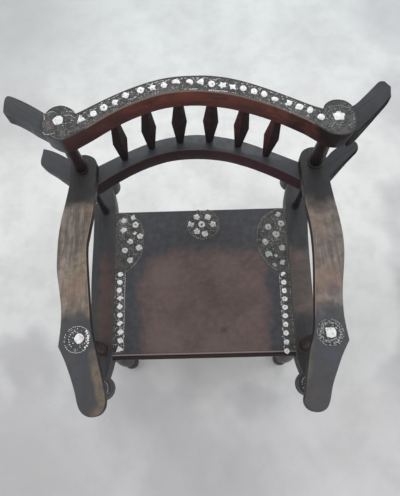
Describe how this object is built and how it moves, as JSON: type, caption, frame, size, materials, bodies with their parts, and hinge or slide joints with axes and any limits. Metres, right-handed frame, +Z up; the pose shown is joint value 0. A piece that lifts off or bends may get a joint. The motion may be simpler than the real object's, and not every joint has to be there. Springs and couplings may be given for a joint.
{
  "type": "throne chair",
  "caption": "Dark wooden throne armchair with a bowed crest rail, horned ends, lozenge spindles, flat bowed arms and mother-of-pearl inlay on crest, arms and seat.",
  "frame": {"origin": "on the floor, under the centre of the bounding box", "axes": "+Z up, the sitter faces -Y, +X is the chair's width"},
  "size_m": [0.7634, 0.6599, 0.87],
  "materials": {
    "dark_stained_wood": "satin",
    "red_brown_wood": "satin",
    "worn_arm_wood": "satin",
    "seat_wood": "satin",
    "turned_wood": "satin",
    "plain_wood": "matte",
    "inlay_ground": "matte",
    "pearl": "gloss"
  },
  "bodies": {
    "root": {"arm_inlay_ground_left": "inlay_ground", "arm_inlay_ground_right": "inlay_ground", "arm_left": "worn_arm_wood", "arm_pearl_left": "pearl", "arm_pearl_right": "pearl", "arm_right": "worn_arm_wood", "back_horn_left": "dark_stained_wood", "back_horn_right": "dark_stained_wood", "back_rail": "red_brown_wood", "back_spindle_1": "turned_wood", "back_spindle_2": "turned_wood", "back_spindle_3": "turned_wood", "back_spindle_4": "turned_wood", "back_spindle_5": "turned_wood", "back_spindle_6": "turned_wood", "crest_horn_left": "dark_stained_wood", "crest_horn_right": "dark_stained_wood", "crest_pearl": "pearl", "crest_post_left": "turned_wood", "crest_post_right": "turned_wood", "crest_rail": "red_brown_wood", "cross_stretcher": "turned_wood", "front_arm_post_left": "turned_wood", "front_arm_post_right": "turned_wood", "front_leg_left": "turned_wood", "front_leg_right": "turned_wood", "rear_arm_post_left": "turned_wood", "rear_arm_post_right": "turned_wood", "rear_leg_left": "turned_wood", "rear_leg_right": "turned_wood", "seat_back_rail": "dark_stained_wood", "seat_front_rail": "dark_stained_wood", "seat_inlay_ground_centre": "inlay_ground", "seat_inlay_ground_left": "inlay_ground", "seat_inlay_ground_right": "inlay_ground", "seat_ledge_left": "plain_wood", "seat_ledge_right": "plain_wood", "seat_panel": "seat_wood", "seat_pearl_centre": "pearl", "seat_pearl_lobe_left": "pearl", "seat_pearl_lobe_right": "pearl", "seat_pearl_strip_left": "pearl", "seat_pearl_strip_right": "pearl", "side_rail_left": "dark_stained_wood", "side_rail_pegs_left": "plain_wood", "side_rail_pegs_right": "plain_wood", "side_rail_right": "dark_stained_wood", "side_rail_ring_left": "pearl", "side_rail_ring_right": "pearl", "side_stretcher_left": "turned_wood", "side_stretcher_right": "turned_wood"}
  },
  "joints": []
}
